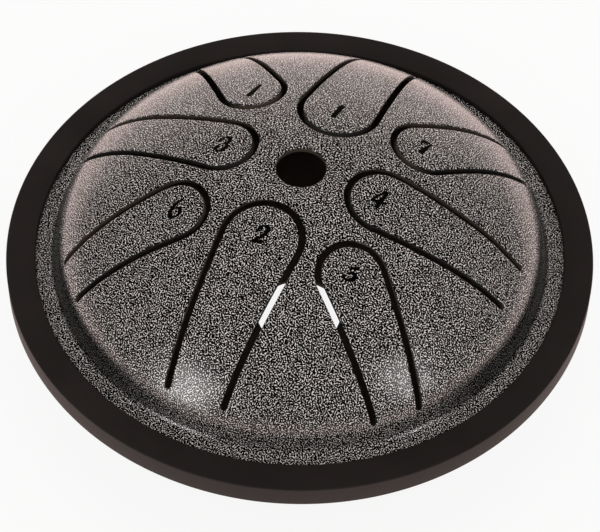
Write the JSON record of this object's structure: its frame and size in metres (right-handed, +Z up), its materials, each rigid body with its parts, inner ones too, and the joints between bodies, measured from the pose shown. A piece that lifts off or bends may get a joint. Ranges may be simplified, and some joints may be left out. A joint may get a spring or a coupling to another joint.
{
  "type": "steel tongue drum",
  "caption": "Small steel tongue drum: a pressed dome with tuned tongues slit from it, bonded to a bowl with a sound port, with a rubber band round the rim and rubber feet below.",
  "frame": {"origin": "on the floor under the centre of the drum, in the plane of the undersides of its feet", "axes": "+Z up along the drum's axis, -Y towards the player, +X to the player's right"},
  "size_m": [0.155, 0.155, 0.0669],
  "materials": {
    "shell_paint": "satin",
    "band_rubber": "matte",
    "foot_rubber": "matte",
    "seam_adhesive": "satin",
    "tape_foam": "matte"
  },
  "bodies": {
    "drum": {"top_shell": "shell_paint", "bottom_shell": "shell_paint", "seam_bond": "seam_adhesive", "rim_band": "band_rubber", "foot_front": "foot_rubber", "foot_rear_right": "foot_rubber", "foot_rear_left": "foot_rubber", "foot_tape_front": "tape_foam", "foot_tape_rear_right": "tape_foam", "foot_tape_rear_left": "tape_foam"},
    "tongue_1_low": {"tongue_1_low": "shell_paint"},
    "tongue_2": {"tongue_2": "shell_paint"},
    "tongue_3": {"tongue_3": "shell_paint"},
    "tongue_4": {"tongue_4": "shell_paint"},
    "tongue_5": {"tongue_5": "shell_paint"},
    "tongue_6": {"tongue_6": "shell_paint"},
    "tongue_7": {"tongue_7": "shell_paint"},
    "tongue_1_high": {"tongue_1_high": "shell_paint"}
  },
  "joints": [
    {"name": "tongue_1_low_flex", "type": "hinge", "parent": "drum", "child": "tongue_1_low", "pos_m": [0.02436, 0.05602, 0.04328], "axis": [0.9171, -0.3987, 0], "range_deg": [-0.6, 0.6], "stiffness_Nm_per_rad": 55},
    {"name": "tongue_2_flex", "type": "hinge", "parent": "drum", "child": "tongue_2", "pos_m": [-0.02521, -0.05532, 0.0437], "axis": [-0.91, 0.4147, 0], "range_deg": [-0.6, 0.6], "stiffness_Nm_per_rad": 55},
    {"name": "tongue_3_flex", "type": "hinge", "parent": "drum", "child": "tongue_3", "pos_m": [-0.05532, 0.02591, 0.04328], "axis": [0.4242, 0.9056, 0], "range_deg": [-0.6, 0.6], "stiffness_Nm_per_rad": 55},
    {"name": "tongue_4_flex", "type": "hinge", "parent": "drum", "child": "tongue_4", "pos_m": [0.05377, -0.02205, 0.04677], "axis": [-0.3795, -0.9252, 0], "range_deg": [-0.6, 0.6], "stiffness_Nm_per_rad": 55},
    {"name": "tongue_5_flex", "type": "hinge", "parent": "drum", "child": "tongue_5", "pos_m": [0.02458, -0.05763, 0.0405], "axis": [-0.9198, -0.3923, 0], "range_deg": [-0.6, 0.6], "stiffness_Nm_per_rad": 55},
    {"name": "tongue_6_flex", "type": "hinge", "parent": "drum", "child": "tongue_6", "pos_m": [-0.05841, -0.01887, 0.04283], "axis": [-0.3074, 0.9516, 0], "range_deg": [-0.6, 0.6], "stiffness_Nm_per_rad": 55},
    {"name": "tongue_7_flex", "type": "hinge", "parent": "drum", "child": "tongue_7", "pos_m": [0.05714, 0.02159, 0.04328], "axis": [0.3535, -0.9354, 0], "range_deg": [-0.6, 0.6], "stiffness_Nm_per_rad": 55},
    {"name": "tongue_1_high_flex", "type": "hinge", "parent": "drum", "child": "tongue_1_high", "pos_m": [-0.02357, 0.05636, 0.04328], "axis": [0.9225, 0.3859, 0], "range_deg": [-0.6, 0.6], "stiffness_Nm_per_rad": 55}
  ]
}
